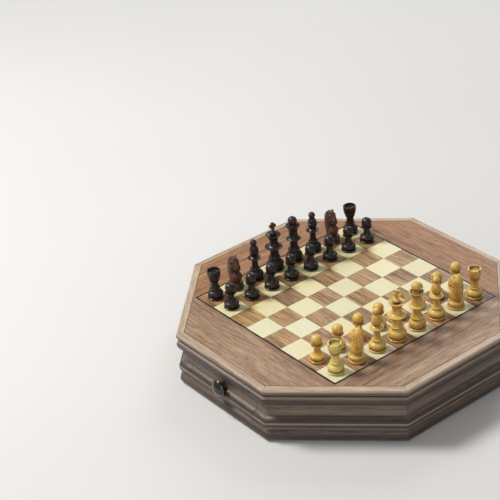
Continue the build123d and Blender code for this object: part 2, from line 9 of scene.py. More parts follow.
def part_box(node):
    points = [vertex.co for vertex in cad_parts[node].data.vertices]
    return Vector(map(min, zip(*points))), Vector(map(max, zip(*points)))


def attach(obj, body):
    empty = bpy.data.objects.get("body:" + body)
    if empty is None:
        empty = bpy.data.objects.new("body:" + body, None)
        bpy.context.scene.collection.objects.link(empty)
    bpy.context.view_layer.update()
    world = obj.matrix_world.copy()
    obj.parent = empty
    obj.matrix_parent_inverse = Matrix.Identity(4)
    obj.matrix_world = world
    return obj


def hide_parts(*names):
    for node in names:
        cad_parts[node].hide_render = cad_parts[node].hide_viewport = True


# The look of the octagonal chess board case and its turned pieces.
# Metres, +Z up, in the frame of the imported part. Every shader reads Object
# coordinates, so the grain stays on each piece when it moves.

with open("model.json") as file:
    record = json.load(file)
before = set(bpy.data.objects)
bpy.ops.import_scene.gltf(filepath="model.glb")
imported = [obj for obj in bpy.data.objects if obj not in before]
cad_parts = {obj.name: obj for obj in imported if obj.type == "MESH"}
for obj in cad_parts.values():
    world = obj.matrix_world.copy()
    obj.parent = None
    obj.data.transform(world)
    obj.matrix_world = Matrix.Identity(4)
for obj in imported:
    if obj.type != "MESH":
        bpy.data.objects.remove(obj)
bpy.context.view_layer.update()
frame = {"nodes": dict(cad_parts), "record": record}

# Sizes that the shaders and the carved knights share with the part
square = 0.026
board_top = 0.058
felt_top = board_top + 0.0006
knight_seat = board_top + 0.0098
strip_edge = 0.152
corner_slope = tan(pi / 8)

# Levels at which one moulded layer of the sides ends and the next begins
layer_levels = (0.0125, 0.0265, 0.038, 0.051)

# Bands on the moulded sides, each by its level and half its width
# Painted highlights along the crests of the mouldings
painted_highlight_bands = ((0.0492, 0.0016), (0.0385, 0.0020), (0.0205, 0.0011), (0.0136, 0.0024))
# Painted light in the shaded recess
painted_light_bands = ((0.0290, 0.0060),)
# Painted shade below the crests
painted_shade_bands = ((0.0440, 0.0050), (0.0228, 0.0036), (0.0174, 0.0016), (0.0060, 0.0050))
# A dark joint between two layers
joint_bands = ((0.0510, 0.0010),)


# Shader arithmetic
class Value:
    """A shader socket that takes Python arithmetic."""

    def __init__(self, shader, socket):
        self.shader = shader
        self.socket = socket

    def math(self, operation, *others):
        return self.shader.math(operation, self, *others)

    def __add__(self, other):
        return self.math("ADD", other)

    def __sub__(self, other):
        return self.math("SUBTRACT", other)

    def __mul__(self, other):
        return self.math("MULTIPLY", other)

    def __truediv__(self, other):
        return self.math("DIVIDE", other)

    def __gt__(self, other):
        return self.math("GREATER_THAN", other)

    def __lt__(self, other):
        return self.math("LESS_THAN", other)

    def __abs__(self):
        return self.math("ABSOLUTE")

    def __neg__(self):
        return self.math("MULTIPLY", -1.0)

    def __rsub__(self, other):
        return self.shader.math("SUBTRACT", other, self)

    def __rtruediv__(self, other):
        return self.shader.math("DIVIDE", other, self)

    __radd__ = __add__
    __rmul__ = __mul__

    def floor(self):
        return self.math("FLOOR")

    def round(self):
        return self.math("ROUND")

    def sin(self):
        return self.math("SINE")

    def cos(self):
        return self.math("COSINE")

    def step(self, low, high):
        """0 below low, 1 above high and a smooth rise between."""
        settings = {"interpolation_type": "SMOOTHSTEP"}
        return self.shader.node("MapRange", settings, {"Value": self, "From Min": low, "From Max": high})


class Shader:
    """The node tree of one material."""

    def __init__(self, name):
        self.material = bpy.data.materials.new(name)
        self.material.use_nodes = True
        self.tree = self.material.node_tree
        self.tree.nodes.clear()

    def node(self, kind, settings=None, values=None, output=None):
        """Add a node. Values and the output go by a socket's name or identifier."""
        node = self.tree.nodes.new("ShaderNode" + kind)
        for key, value in (settings or {}).items():
            setattr(node, key, value)
        for key, value in (values or {}).items():
            socket = next(s for s in node.inputs if key in (s.identifier, s.name))
            if isinstance(value, Value):
                self.tree.links.new(value.socket, socket)
            else:
                socket.default_value = value
        found = [s for s in node.outputs if output in (None, s.identifier, s.name)]
        return Value(self, found[0]) if found else None

    def math(self, operation, *values):
        sockets = zip(("Value", "Value_001", "Value_002"), values)
        return self.node("Math", {"operation": operation}, dict(sockets))

    def vector(self, x, y, z):
        return self.node("CombineXYZ", None, {"X": x, "Y": y, "Z": z})

    def split(self, vector):
        """The three components of a vector."""
        first = self.node("SeparateXYZ", None, {"Vector": vector})
        return [Value(self, socket) for socket in first.socket.node.outputs]

    def place(self):
        """Object coordinates x, y and z, in metres."""
        return self.split(self.node("TexCoord", output="Object"))

    def noise(self, place, cells, detail, rough=0.55, distortion=0.0):
        """Noise at a place, with its cells per metre along each of the three axes."""
        vector = self.vector(*(value * count for value, count in zip(place, cells)))
        values = {"Vector": vector, "Scale": 1.0, "Detail": detail, "Roughness": rough}
        values["Distortion"] = distortion
        return self.node("TexNoise", None, values, output="Fac")

    def speckle(self, cells, detail, rough=0.55, distortion=0.0):
        """Noise with the same cells per metre in all directions."""
        return self.noise(self.place(), (cells, cells, cells), detail, rough, distortion)

    def random(self, vector):
        """Three random numbers in 0..1 for one place."""
        settings = {"noise_dimensions": "3D"}
        return self.split(self.node("TexWhiteNoise", settings, {"Vector": vector}, output="Color"))

    def mix(self, share, one, other, blend="MIX"):
        """Blend two colours."""
        settings = {"data_type": "RGBA", "blend_type": blend, "clamp_factor": True}
        values = {"Factor_Float": share, "A_Color": one, "B_Color": other}
        return self.node("Mix", settings, values, output="Result_Color")

    def grey(self, value):
        return self.vector(value, value, value)

    def bump(self, height, distance, strength):
        return self.node("Bump", None, {"Height": height, "Distance": distance, "Strength": strength})

    def surface(self, values):
        """Finish with one principled surface, from the values of its sockets."""
        self.node("OutputMaterial", None, {"Surface": self.node("BsdfPrincipled", None, values)})
        return self.material


def colour(red, green, blue):
    """A linear colour from the 0 to 255 values that it shows as."""
    def linear(value):
        value = value / 255
        return value / 12.92 if value <= 0.04045 else ((value + 0.055) / 1.055) ** 2.4
    return (linear(red), linear(green), linear(blue), 1.0)


def square_pick(shader, x, y, seed):
    """Three random numbers for the square of the board that a place lies on."""
    return shader.random(shader.vector((x / square).floor(), (y / square).floor(), seed))


def octagon_place(shader):
    """Along the nearest side of the octagon, out from the middle, the level, and that side's direction."""
    x, y, z = shader.place()
    turn = (shader.math("ARCTAN2", y, x) / (pi / 4)).round() * (pi / 4)
    facing_x, facing_y = turn.cos(), turn.sin()
    out = x * facing_x + y * facing_y
    along = y * facing_x - x * facing_y
    return along, out, z, (facing_x, facing_y)


# Grain directions. Each gives along the grain, across it, through it, and three random numbers.
def tile_grain(shader):
    """Squares: grain along X, and every square cut from another place."""
    x, y, z = shader.place()
    pick = square_pick(shader, x, y, 3.0)
    lean = (pick[2] - 0.5) * 0.12
    return x + y * lean + pick[0] * 0.7, y - x * lean + pick[1] * 0.9, z, pick


def border_grain(shader):
    """Border veneers: grain parallel to the nearest edge of the field."""
    x, y, z = shader.place()
    beside = abs(x) > abs(y)
    along = x + beside * (y - x)
    across = y + beside * (x - y)
    sector = beside * 2.0 + (across > 0.0)
    pick = shader.random(shader.vector(sector, 5.0, 1.0))
    return along + pick[0], across + pick[1] * 0.3, z, pick


def octagon_grain(shader):
    """Mouldings and sides: grain along each side of the octagon."""
    along, out, z, (facing_x, facing_y) = octagon_place(shader)
    layer = sum(z > level for level in layer_levels)
    pick = shader.random(shader.vector(facing_y * 3.0, facing_x * 3.0, layer))
    return along + pick[0], z + pick[1] * 0.3, out, pick


def turned_grain(shader):
    """Turned pieces: grain upright, another blank for every square."""
    x, y, z = shader.place()
    pick = square_pick(shader, x, y, 1.0)
    return z + pick[0], x + pick[1] * 0.4, y + pick[2] * 0.4, pick


def long_grain(shader):
    """Drawer and case boards: grain along X."""
    x, y, z = shader.place()
    pick = shader.random(shader.vector(x > 0.0, y > 0.0, 2.0))
    return x + pick[0], y + pick[1], z, pick


def sheet_grain(shader):
    """Boards from one sheet: grain along X, without a seam."""
    x, y, z = shader.place()
    return x, y, z, shader.random(shader.vector(1.0, 4.0, 2.0))


def wood(name, grain, dark, middle, light, figure, pores, vary, rough, coat,
         coat_rough=0.25, fine=1.0, finish=None):
    """A lacquered wood: broad figure, streaks, fibres, pores and a lacquer that follows them slightly."""
    shader = Shader(name)
    along, across, through, pick = grain(shader)
    straight = (along, across, through)
    bend = (shader.noise(straight, (18.0, 40.0, 40.0), 2.0) - 0.5) * 0.006
    bent = (along, across + bend, through + bend)
    broad = shader.noise(bent, (9.0, 130.0, 130.0), 3.0)
    streak = shader.noise(bent, (30.0, 560.0, 560.0), 5.0)
    fibre = shader.noise(straight, (70.0, 2400.0, 2400.0), 2.0)
    dash = shader.noise(straight, (110.0, 1700.0, 1700.0), 1.5)
    cloud = shader.noise(straight, (22.0, 30.0, 30.0), 2.0)
    pore = dash.step(0.60, 0.70) * pores
    drawing = (broad - 0.5) * (1.7 * figure) + (streak - 0.5) * (2.6 * figure)
    tone = drawing + (fibre - 0.5) * (0.6 * fine) + 0.5
    base = shader.mix(tone.step(0.0, 0.55), dark, middle)
    base = shader.mix(tone.step(0.45, 1.05), base, light)
    level = (pick[2] - 0.5) * (2.0 * vary) + (cloud - 0.5) * (0.9 * vary) + 1.0
    base = shader.mix(1.0, base, shader.grey(level * (1.0 - pore * 0.75)), "MULTIPLY")
    gloss = (fibre - 0.5) * 0.10 + (cloud - 0.5) * 0.12 + pore * 0.3 + rough
    height = streak * 0.35 + fibre * 0.4 - pore * 1.3
    values = {
        "Base Color": base, "Roughness": gloss, "Coat Weight": coat, "Coat Roughness": coat_rough,
        "Normal": shader.bump(height, 0.00006, 0.55),
    }
    if finish:
        finish(shader, values)
    return shader.surface(values)


# Finishes. Each changes the values of a wood's surface before it is made.
def stain(shader, values, share, tint, blend="MIX"):
    """Lay a colour over the wood's own, by a share from 0 to 1."""
    values["Base Color"] = shader.mix(share, values["Base Color"], tint, blend)


def painted_hollow_shade(shader, values, reach, strength, tint):
    """Paint shade into hollows: the less open sky reaches a place, the darker it gets."""
    settings = {"samples": 6, "only_local": True}
    open_sky = shader.node("AmbientOcclusion", settings, {"Distance": reach}, output="AO")
    stain(shader, values, (1.0 - open_sky.step(0.25, 0.95)) * strength, tint)


def tile_seams(shader, values):
    """Darken the glue line round every square."""
    x, y, _ = shader.place()
    edge_x = abs(x / square - (x / square).round()) * square
    edge_y = abs(y / square - (y / square).round()) * square
    edge = shader.math("MINIMUM", edge_x, edge_y)
    stain(shader, values, (1.0 - edge.step(0.00005, 0.00022)) * 0.45, colour(60, 40, 25))


def tinted_tiles(shader, values, warm, cool, far_warm):
    """Give every square its own tint, warmer towards the dark pieces."""
    x, y, _ = shader.place()
    pick = square_pick(shader, x, y, 8.0)
    tint = shader.mix(pick[0].step(0.1, 0.9), warm, cool)
    tint = shader.mix((1.0 - x.step(-0.085, -0.005)) * 0.8, tint, far_warm)
    stain(shader, values, 1.0, tint, "MULTIPLY")
    tile_seams(shader, values)


def light_tiles(shader, values):
    tinted_tiles(shader, values, colour(255, 251, 238), colour(250, 254, 250), colour(254, 244, 208))


def dark_tiles(shader, values):
    tinted_tiles(shader, values, colour(252, 244, 218), colour(246, 238, 238), colour(250, 234, 200))


def edge_line(shader, values):
    """Darken the joint between the veneers and the edge strips, and the mitres of the strips."""
    along, out, _, _ = octagon_place(shader)
    line = 1.0 - abs(out - strip_edge).step(0.0002, 0.0006)
    mitre = (1.0 - (out * corner_slope - abs(along)).step(0.0001, 0.0004)) * (out > strip_edge)
    share = shader.math("MAXIMUM", line * 0.75, mitre * 0.6)
    stain(shader, values, share, colour(44, 32, 24))


def mitre_seams(shader, values):
    """Darken the mitres of the border veneers; the two far ones are of warmer wood."""
    x, y, _ = shader.place()
    warmer = shader.mix(1.0, values["Base Color"], colour(240, 216, 188), "MULTIPLY")
    stain(shader, values, y > x, warmer)
    seam = 1.0 - abs(abs(x) - abs(y)).step(0.00006, 0.0003)
    stain(shader, values, seam * 0.7, colour(45, 30, 20))
    edge_line(shader, values)


def strip_face(shader, values):
    """The edge strip is darker below its top, towards the colour of the sides below it."""
    _, _, z = shader.place()
    stain(shader, values, (1.0 - z.step(0.0545, 0.0575)) * 0.85, colour(74, 58, 49))
    edge_line(shader, values)


def near_bands(shader, z, bands):
    """1 in the middle of each band of levels, falling to 0 at its edges."""
    near = 0.0
    for level, reach in bands:
        near = shader.math("MAXIMUM", near, 1.0 - (abs(z - level) / reach).step(0.2, 1.0))
    return near


def layered_side(shader, values):
    """Paint highlights on the crests of the mouldings, light into the recess and shade below the crests, and
    darken a joint.
    """
    _, _, z = shader.place()
    # Painted light in the shaded recess
    stain(shader, values, near_bands(shader, z, painted_light_bands) * 0.18, colour(190, 174, 160))
    # Painted shade below the crests
    stain(shader, values, near_bands(shader, z, painted_shade_bands) * 0.70, colour(42, 37, 36))
    # Painted highlights on the crests
    stain(shader, values, near_bands(shader, z, painted_highlight_bands) * 0.50, colour(190, 174, 160))
    stain(shader, values, near_bands(shader, z, joint_bands) * 0.6, colour(28, 24, 23))
    # Painted shade in the hollows
    painted_hollow_shade(shader, values, 0.008, 0.25, colour(26, 22, 22))


def felt_under(shader, values):
    """The felt disc under a piece, below the turned foot."""
    _, _, z = shader.place()
    under = z < felt_top
    fuzz = shader.speckle(4000.0, 3.0)
    stain(shader, values, under, shader.mix(fuzz, colour(18, 40, 26), colour(44, 84, 56)))
    values["Roughness"] = shader.math("MAXIMUM", values["Roughness"], under)
    values["Coat Weight"] = (1.0 - under) * values["Coat Weight"]


def rings_and_painted_light(shader, values, dark, pale, top_highlight):
    """Painted shade on the undersides, a painted highlight on the upper faces, and rings from the turning
    tool except on the carved heads.
    """
    x, y, z = shader.place()
    knight_square = (abs(y) > 2 * square) * (abs(y) < 3 * square) * (abs(x) > 3 * square)
    carved = knight_square * (z > knight_seat)
    rings = shader.noise((0.0, 0.0, z), (1.0, 1.0, 1400.0), 2.0).step(0.5, 0.75) * (1.0 - carved)
    upward = shader.split(shader.node("NewGeometry", output="Normal"))[2]
    # Painted highlight: the faces that look up are lighter, as if lit from above
    stain(shader, values, upward.step(0.15, 0.85) * top_highlight, pale)
    # Rings from the turning tool, and painted shade on the faces that look down
    stain(shader, values, rings * 0.25 + (-upward).step(-0.25, 0.7) * 0.62, dark)


def light_turned(shader, values):
    """Painted shade in the grooves, and greener wood in the rook of the near corner."""
    x, y, _ = shader.place()
    near_corner = (x > 3 * square) * (y < -3 * square)
    greener = shader.mix(0.55, values["Base Color"], colour(246, 240, 140))
    stain(shader, values, near_corner, greener)
    # Turning rings, with a painted highlight on the upper faces and painted shade on the undersides
    rings_and_painted_light(shader, values, colour(112, 62, 22), colour(254, 226, 126), 0.52)
    # Painted shade in the hollows
    painted_hollow_shade(shader, values, 0.008, 1.0, colour(72, 38, 12))
    felt_under(shader, values)


def dark_turned(shader, values):
    """Dark wood that is reddish brown towards the tops, with painted light and shade."""
    _, _, z = shader.place()
    # Reddish brown towards the tops
    stain(shader, values, (z - board_top).step(0.026, 0.052) * 0.45, colour(84, 40, 26))
    # Turning rings, with a painted highlight on the upper faces and painted shade on the undersides
    rings_and_painted_light(shader, values, colour(9, 5, 5), colour(92, 70, 60), 0.12)
    # Painted shade in the hollows
    painted_hollow_shade(shader, values, 0.005, 0.8, colour(6, 4, 4))
    felt_under(shader, values)


def turned(name, dark, middle, light, rough, coat, finish):
    """A wood with fine, quiet grain and a polish from the lathe."""
    return wood(name, turned_grain, dark, middle, light, figure=0.44, pores=0.14, vary=0.11, rough=rough,
                coat=coat, coat_rough=0.08, fine=0.5, finish=finish)


# Felt, metal and lacquer
def felt(name, dark, light):
    """Pressed wool felt: matted fibres and a soft sheen."""
    shader = Shader(name)
    fuzz = shader.speckle(3200.0, 4.0, rough=0.7)
    matted = shader.speckle(500.0, 3.0, distortion=1.5)
    share = (fuzz - 0.5) * 1.1 + (matted - 0.5) * 0.9 + 0.5
    return shader.surface({
        "Base Color": shader.mix(share, dark, light), "Roughness": 0.95, "Sheen Weight": 0.5,
        "Sheen Roughness": 0.5, "Normal": shader.bump(fuzz * 0.6 + matted * 0.6, 0.0003, 0.6),
    })


def metal(name, tint, rough):
    """Plated steel with drawing marks and small dull patches."""
    shader = Shader(name)
    marks = shader.noise(shader.place(), (5200.0, 5200.0, 260.0), 3.0)
    patch = shader.speckle(420.0, 3.0)
    return shader.surface({
        "Base Color": shader.mix((patch - 0.4) * 0.8, tint, colour(120, 112, 96)), "Metallic": 1.0,
        "Roughness": (marks - 0.5) * 0.25 + (patch - 0.5) * 0.3 + rough,
        "Normal": shader.bump(marks, 0.00002, 0.4),
    })


def lacquer(name, deep, bright):
    """Black gloss lacquer over wood, with a trace of the grain and small ripples."""
    shader = Shader(name)
    ripple = shader.speckle(260.0, 2.0)
    grain = shader.noise(shader.place(), (1500.0, 110.0, 1500.0), 3.0)
    return shader.surface({
        "Base Color": shader.mix(grain, deep, bright), "Roughness": (ripple - 0.5) * 0.12 + 0.30,
        "Coat Weight": 0.8, "Coat Roughness": 0.09,
        "Normal": shader.bump(ripple * 0.7 + grain * 0.3, 0.00004, 0.5),
    })


# The finish of each material slot
looks = {
    "light_veneer": wood(
        "light_veneer", tile_grain, colour(226, 214, 164), colour(243, 236, 200), colour(251, 248, 224),
        figure=0.17, pores=0.06, vary=0.05, rough=0.48, coat=0.12, finish=light_tiles,
    ),
    "dark_veneer": wood(
        "dark_veneer", tile_grain, colour(102, 69, 43), colour(175, 143, 105), colour(219, 191, 149),
        figure=0.64, pores=0.85, vary=0.20, fine=1.5, rough=0.50, coat=0.12, finish=dark_tiles,
    ),
    "border_veneer": wood(
        "border_veneer", border_grain, colour(104, 72, 51), colour(172, 138, 110), colour(214, 184, 152),
        figure=0.54, pores=0.85, vary=0.09, fine=1.5, rough=0.50, coat=0.12, finish=mitre_seams,
    ),
    "black_inlay": wood(
        "black_inlay", border_grain, colour(7, 5, 4), colour(15, 11, 9), colour(28, 21, 16),
        figure=0.4, pores=0.4, vary=0.05, rough=0.52, coat=0.08,
    ),
    "edge_wood": wood(
        "edge_wood", octagon_grain, colour(142, 112, 88), colour(197, 171, 145), colour(228, 206, 182),
        figure=0.50, pores=0.5, vary=0.07, rough=0.46, coat=0.15, finish=strip_face,
    ),
    "side_wood": wood(
        "side_wood", octagon_grain, colour(62, 50, 43), colour(108, 90, 78), colour(146, 126, 110),
        figure=0.46, pores=0.7, vary=0.08, rough=0.50, coat=0.06, fine=1.3, finish=layered_side,
    ),
    "inner_wood": wood(
        "inner_wood", long_grain, colour(172, 132, 88), colour(212, 176, 128), colour(232, 204, 162),
        figure=0.55, pores=0.35, vary=0.06, rough=0.62, coat=0.0,
    ),
    "base_ply": wood(
        "base_ply", sheet_grain, colour(150, 112, 74), colour(194, 156, 112), colour(218, 186, 144),
        figure=0.85, pores=0.3, vary=0.05, rough=0.66, coat=0.0,
    ),
    "fibreboard": wood(
        "fibreboard", sheet_grain, colour(120, 92, 66), colour(146, 114, 84), colour(166, 134, 102),
        figure=0.15, pores=0.1, vary=0.03, rough=0.8, coat=0.0, fine=1.6,
    ),
    "boxwood": turned(
        "boxwood", colour(156, 102, 38), colour(227, 176, 80), colour(252, 224, 136),
        rough=0.42, coat=0.22, finish=light_turned,
    ),
    "ebonised_wood": turned(
        "ebonised_wood", colour(10, 6, 7), colour(26, 16, 17), colour(50, 33, 30),
        rough=0.40, coat=0.16, finish=dark_turned,
    ),
    "insert_felt": felt("insert_felt", colour(14, 36, 24), colour(44, 88, 60)),
    "foot_felt": felt("foot_felt", colour(10, 10, 10), colour(44, 42, 40)),
    "steel": metal("steel", colour(176, 178, 182), 0.38),
    "screw_steel": metal("screw_steel", colour(214, 200, 160), 0.34),
    "knob_black": lacquer("knob_black", colour(8, 7, 7), colour(30, 24, 22)),
}

# The dark knights have lost most of their stain
worn_knight = turned(
    "ebonised_wood_worn", colour(44, 24, 17), colour(100, 60, 45), colour(146, 96, 74),
    rough=0.42, coat=0.2, finish=dark_turned,
)


def plain_mesh(name, points, faces):
    """A new object in the scene, from points and faces."""
    mesh = bpy.data.meshes.new(name)
    mesh.from_pydata(points, [], faces)
    piece = bpy.data.objects.new(name, mesh)
    bpy.context.scene.collection.objects.link(piece)
    return piece


# Knights, carved from a turned blank and measured in millimetres
def blend_min(one, other, soft):
    """The union of two distance fields with a soft joint."""
    share = np.clip(0.5 + 0.5 * (other - one) / soft, 0, 1)
    return other + (one - other) * share - soft * share * (1 - share)


def blend_max(one, other, soft):
    """What two distance fields have in common, with a soft edge."""
    return -blend_min(-one, -other, soft)


def ellipsoid(x, y, z, centre, radii, lean=0.0):
    """Distance to an ellipsoid that leans by an angle in degrees."""
    dx, dy, dz = x - centre[0], y - centre[1], z - centre[2]
    c, s = cos(radians(lean)), sin(radians(lean))
    dx, dz = dx * c - dz * s, dx * s + dz * c
    ratio = np.sqrt((dx / radii[0]) ** 2 + (dy / radii[1]) ** 2 + (dz / radii[2]) ** 2)
    return (ratio - 1) * min(radii)


def capsule(x, y, z, start, end, start_radius, end_radius, widen=1.0):
    """Distance to a tapered bar with round ends, made wider sideways by a factor."""
    ax, ay, az = (end[k] - start[k] for k in range(3))
    dx, dy, dz = x - start[0], y - start[1], z - start[2]
    share = np.clip((dx * ax + dy * ay + dz * az) / (ax * ax + ay * ay + az * az), 0, 1)
    radius = start_radius + (end_radius - start_radius) * share
    gap_y = (dy - share * ay) / widen
    return np.sqrt((dx - share * ax) ** 2 + gap_y ** 2 + (dz - share * az) ** 2) - radius


def horse_head(x, y, z):
    """Distance field of the head: x forward, z above the board."""
    side = np.abs(y)
    lock_pitch = 2.7
    # Chest, neck, skull, cheeks, muzzle and brows
    body = ellipsoid(x, y, z, (0.9, 0, 13.8), (6.4, 6.6, 6.2), lean=-6)
    body = blend_min(body, ellipsoid(x, y, z, (-2.2, 0, 17.0), (5.2, 5.4, 10.0), lean=-4), 1.8)
    body = blend_min(body, capsule(x, y, z, (-2.5, 0, 21), (-2.0, 0, 30.0), 5.5, 5.7, 1.05), 2.0)
    skull = capsule(x, y, z, (-0.9, 0, 30.6), (3.9, 0, 26.6), 5.6, 4.1, 0.80)
    body = blend_min(body, skull, 1.2)
    body = blend_min(body, ellipsoid(x, side, z, (0.0, 2.4, 27.2), (4.2, 3.0, 4.4), lean=20), 0.7)
    muzzle = ellipsoid(x, y, z, (5.1, 0, 24.7), (3.1, 3.3, 3.0), lean=-40)
    body = blend_min(body, muzzle, 0.8)
    brow = ellipsoid(x, side, z, (1.7, 3.3, 32.0), (2.2, 1.2, 0.9), lean=-38)
    body = blend_min(body, brow, 0.6)
    # Flat bridge of the nose and flat sides, as the saw leaves them
    bridge = (x - 6.0) * 0.58 + (z - 32.8) * 0.815
    body = blend_max(body, bridge, 0.8)
    body = blend_max(body, side - 5.8, 1.2)
    # Ridge of the mane down the back of the neck, with shallow waves
    mane = capsule(x, y, z, (-2.4, 0, 33.9), (-6.0, 0, 27.6), 2.5, 2.2, 1.2)
    mane = blend_min(mane, capsule(x, y, z, (-6.0, 0, 27.6), (-6.4, 0, 14.0), 2.2, 1.5, 1.3), 0.8)
    waves = np.sin((z + side * 1.1 + (x + 7.0) * 0.55) * 2 * pi / lock_pitch)
    mane = mane + 0.28 * (0.5 - 0.5 * waves)
    body = blend_min(body, mane, 0.5)
    # Ears and forelock
    ear = capsule(x, side, z, (-1.9, 2.5, 32.2), (-1.1, 3.5, 36.0), 2.6, 0.8)
    hollow = capsule(x, side, z, (0.6, 3.2, 33.9), (0.0, 3.7, 36.2), 1.1, 0.5)
    ear = blend_max(ear, -hollow, 0.4)
    body = blend_min(body, ear, 0.6)
    forelock = capsule(x, y, z, (-1.4, 0, 34.4), (2.6, 0, 33.6), 1.6, 0.7, 1.2)
    body = blend_min(body, forelock, 0.4)
    # Throat, mouth, nostrils, the groove round the cheek, and eyes
    throat = capsule(x, y * 0.2, z, (7.6, 0, 19.0), (2.6, 0, 21.6), 2.3, 0.8)
    body = blend_max(body, -throat, 0.6)
    mouth = capsule(x, y * 0.15, z, (9.0, 0, 22.6), (5.0, 0, 24.0), 0.4, 0.15)
    body = blend_max(body, -mouth, 0.25)
    nostril = ellipsoid(x, side, z, (6.9, 2.6, 25.4), (0.8, 0.9, 0.6), lean=-40)
    body = blend_max(body, -nostril, 0.25)
    cheek = np.abs(np.hypot(x - 0.4, z - 27.2) - 3.7) - 0.14
    cheek = np.where((x < 1.2) & (z < 30.5) & (side > 5.0), cheek, 2.0)
    body = blend_max(body, -cheek, 0.35)
    socket = ellipsoid(x, side, z, (2.1, 4.8, 30.3), (1.7, 1.4, 1.2), lean=-35)
    body = blend_max(body, -socket, 0.35)
    eyeball = ellipsoid(x, side, z, (2.1, 3.7, 30.3), (1.1, 0.9, 0.8), lean=-35)
    body = blend_min(body, eyeball, 0.1)
    # Locks of the mane, cut slanting into both sides of the neck's back
    lock = 1.0 - np.abs(np.sin((z * 0.75 + side * 0.9 + (x + 7.0) * 0.9) * pi / lock_pitch))
    back = np.clip((-2.7 - 0.06 * (z - 20.0) - x) / 0.7, 0, 1)
    height = np.clip((z - 12.5) / 2.0, 0, 1) * np.clip((34.5 - z) / 2.0, 0, 1)
    body = body + (0.08 + 0.36 * lock ** 2) * back * height
    # The head ends on the turned seat
    return blend_max(body, 9.6 - z, 0.3)


def surface_net(field, low, step):
    """A closed mesh round the places where a distance field is negative."""
    inside = field < 0
    total = np.zeros(tuple(n - 1 for n in field.shape) + (3,))
    count = np.zeros(tuple(n - 1 for n in field.shape))
    corners = [(i, j, k) for i in (0, 1) for j in (0, 1) for k in (0, 1)]

    def corner(array, place):
        return array[tuple(slice(p, n - 1 + p) for p, n in zip(place, array.shape))]

    # One point in each cell, at the middle of the places where its edges cross the surface
    for first in corners:
        for axis in range(3):
            if first[axis]:
                continue
            second = tuple(1 if k == axis else first[k] for k in range(3))
            a, b = corner(field, first), corner(field, second)
            crossing = (a < 0) != (b < 0)
            share = np.where(crossing, a / np.where(crossing, a - b, 1), 0)
            for k in range(3):
                offset = first[k] + (share if k == axis else 0)
                total[..., k] += np.where(crossing, offset, 0)
            count += crossing
    used = count > 0
    number = np.full(used.shape, -1)
    number[used] = np.arange(used.sum())
    cells = np.argwhere(used)
    points = low + (cells + total[used] / count[used][:, None]) * step

    # One face across each edge of the grid that leaves or enters the body
    faces = []
    for axis in range(3):
        one, two = (axis + 1) % 3, (axis + 2) % 3
        ahead = np.moveaxis(inside, axis, 0)
        change = np.moveaxis(ahead[1:] != ahead[:-1], 0, axis)
        leaving = np.moveaxis(ahead[:-1] & ~ahead[1:], 0, axis)
        spots = np.argwhere(change)
        spots = spots[(spots[:, one] > 0) & (spots[:, two] > 0)]
        spots = spots[(spots[:, one] < used.shape[one]) & (spots[:, two] < used.shape[two])]
        quad = []
        for back_one, back_two in ((1, 1), (0, 1), (0, 0), (1, 0)):
            cell = spots.copy()
            cell[:, one] -= back_one
            cell[:, two] -= back_two
            quad.append(number[tuple(cell.T)])
        quad = np.stack(quad, axis=1)
        flip = ~leaving[tuple(spots.T)]
        quad[flip] = quad[flip][:, ::-1]
        faces.append(quad)
    return points, np.concatenate(faces)


def turned_foot(segments=96):
    """Felt, rim, groove, bulge and seat of the knight's foot, turned from an outline of radius and level."""
    outline = [(0, 0), (7.5, 0), (7.5, 0.6), (8.0, 0.6)]
    outline += [(8.5 - 0.5 * (1 - sin(t)), 1.1 - 0.5 * cos(t)) for t in (0.5, 1.0, pi / 2)]
    outline += [(8.5, 1.8), (8.42, 2.05), (8.2, 2.2), (7.9, 2.3), (7.3, 2.42)]
    outline += [(7.28, 2.6), (7.5, 2.9), (7.62, 3.2)]
    bulge_start = -0.85
    for turn in range(9):
        angle = bulge_start + turn * (pi / 2 - bulge_start) / 8
        outline.append((6.2 + 1.9 * cos(angle), 5.6 + 2.35 * sin(angle)))
    outline += [(5.5, 8.0), (5.05, 8.3), (4.9, 8.8), (4.95, 9.3), (5.3, 9.7), (5.5, 10.2), (0, 10.8)]
    points = [(0.0, 0.0, outline[0][1])]
    rings = outline[1:-1]
    for radius, level in rings:
        for turn in range(segments):
            angle = 2 * pi * turn / segments
            points.append((radius * cos(angle), radius * sin(angle), level))
    points.append((0.0, 0.0, outline[-1][1]))
    faces = []
    top = 1 + (len(rings) - 1) * segments
    for turn in range(segments):
        after = (turn + 1) % segments
        faces.append((0, 1 + after, 1 + turn))
        for ring in range(len(rings) - 1):
            low, high = 1 + ring * segments, 1 + (ring + 1) * segments
            faces.append((low + turn, low + after, high + after, high + turn))
        faces.append((top + turn, top + after, len(points) - 1))
    return points, faces


# The grid round the head: its spacing, its lowest corner and its numbers of points
grid_step = 0.24
grid_low = np.array([-9.6, -7.2, 9.0])
grid_counts = (80, 61, 122)
grid = [low + grid_step * np.arange(count) for low, count in zip(grid_low, grid_counts)]
head_points, head_faces = surface_net(horse_head(*np.meshgrid(*grid, indexing="ij")), grid_low, grid_step)
foot_points, foot_faces = turned_foot()


def middle_of_square(place):
    """The middle of the square that a coordinate lies on."""
    return round(place / square - 0.5) * square + square / 2


def carved_knight(node, facing, look):
    """A knight standing where the CAD node stands, looking along +X for 1 and along -X for -1."""
    box_low, box_high = (Vector(corner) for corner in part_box(node))
    centre = (box_low + box_high) / 2
    column = middle_of_square(centre.x)
    row = middle_of_square(centre.y)
    points = [
        (column + facing * x / 1000, row + facing * y / 1000, board_top + z / 1000)
        for x, y, z in [*head_points, *foot_points]
    ]
    faces = head_faces.tolist()
    faces += [tuple(i + len(head_points) for i in face) for face in foot_faces]
    knight = plain_mesh(node + "_carved", points, faces)
    knight.data.validate()
    for polygon in knight.data.polygons:
        polygon.use_smooth = True
    knight.data.materials.append(look)
    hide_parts(node)
    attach(knight, node)


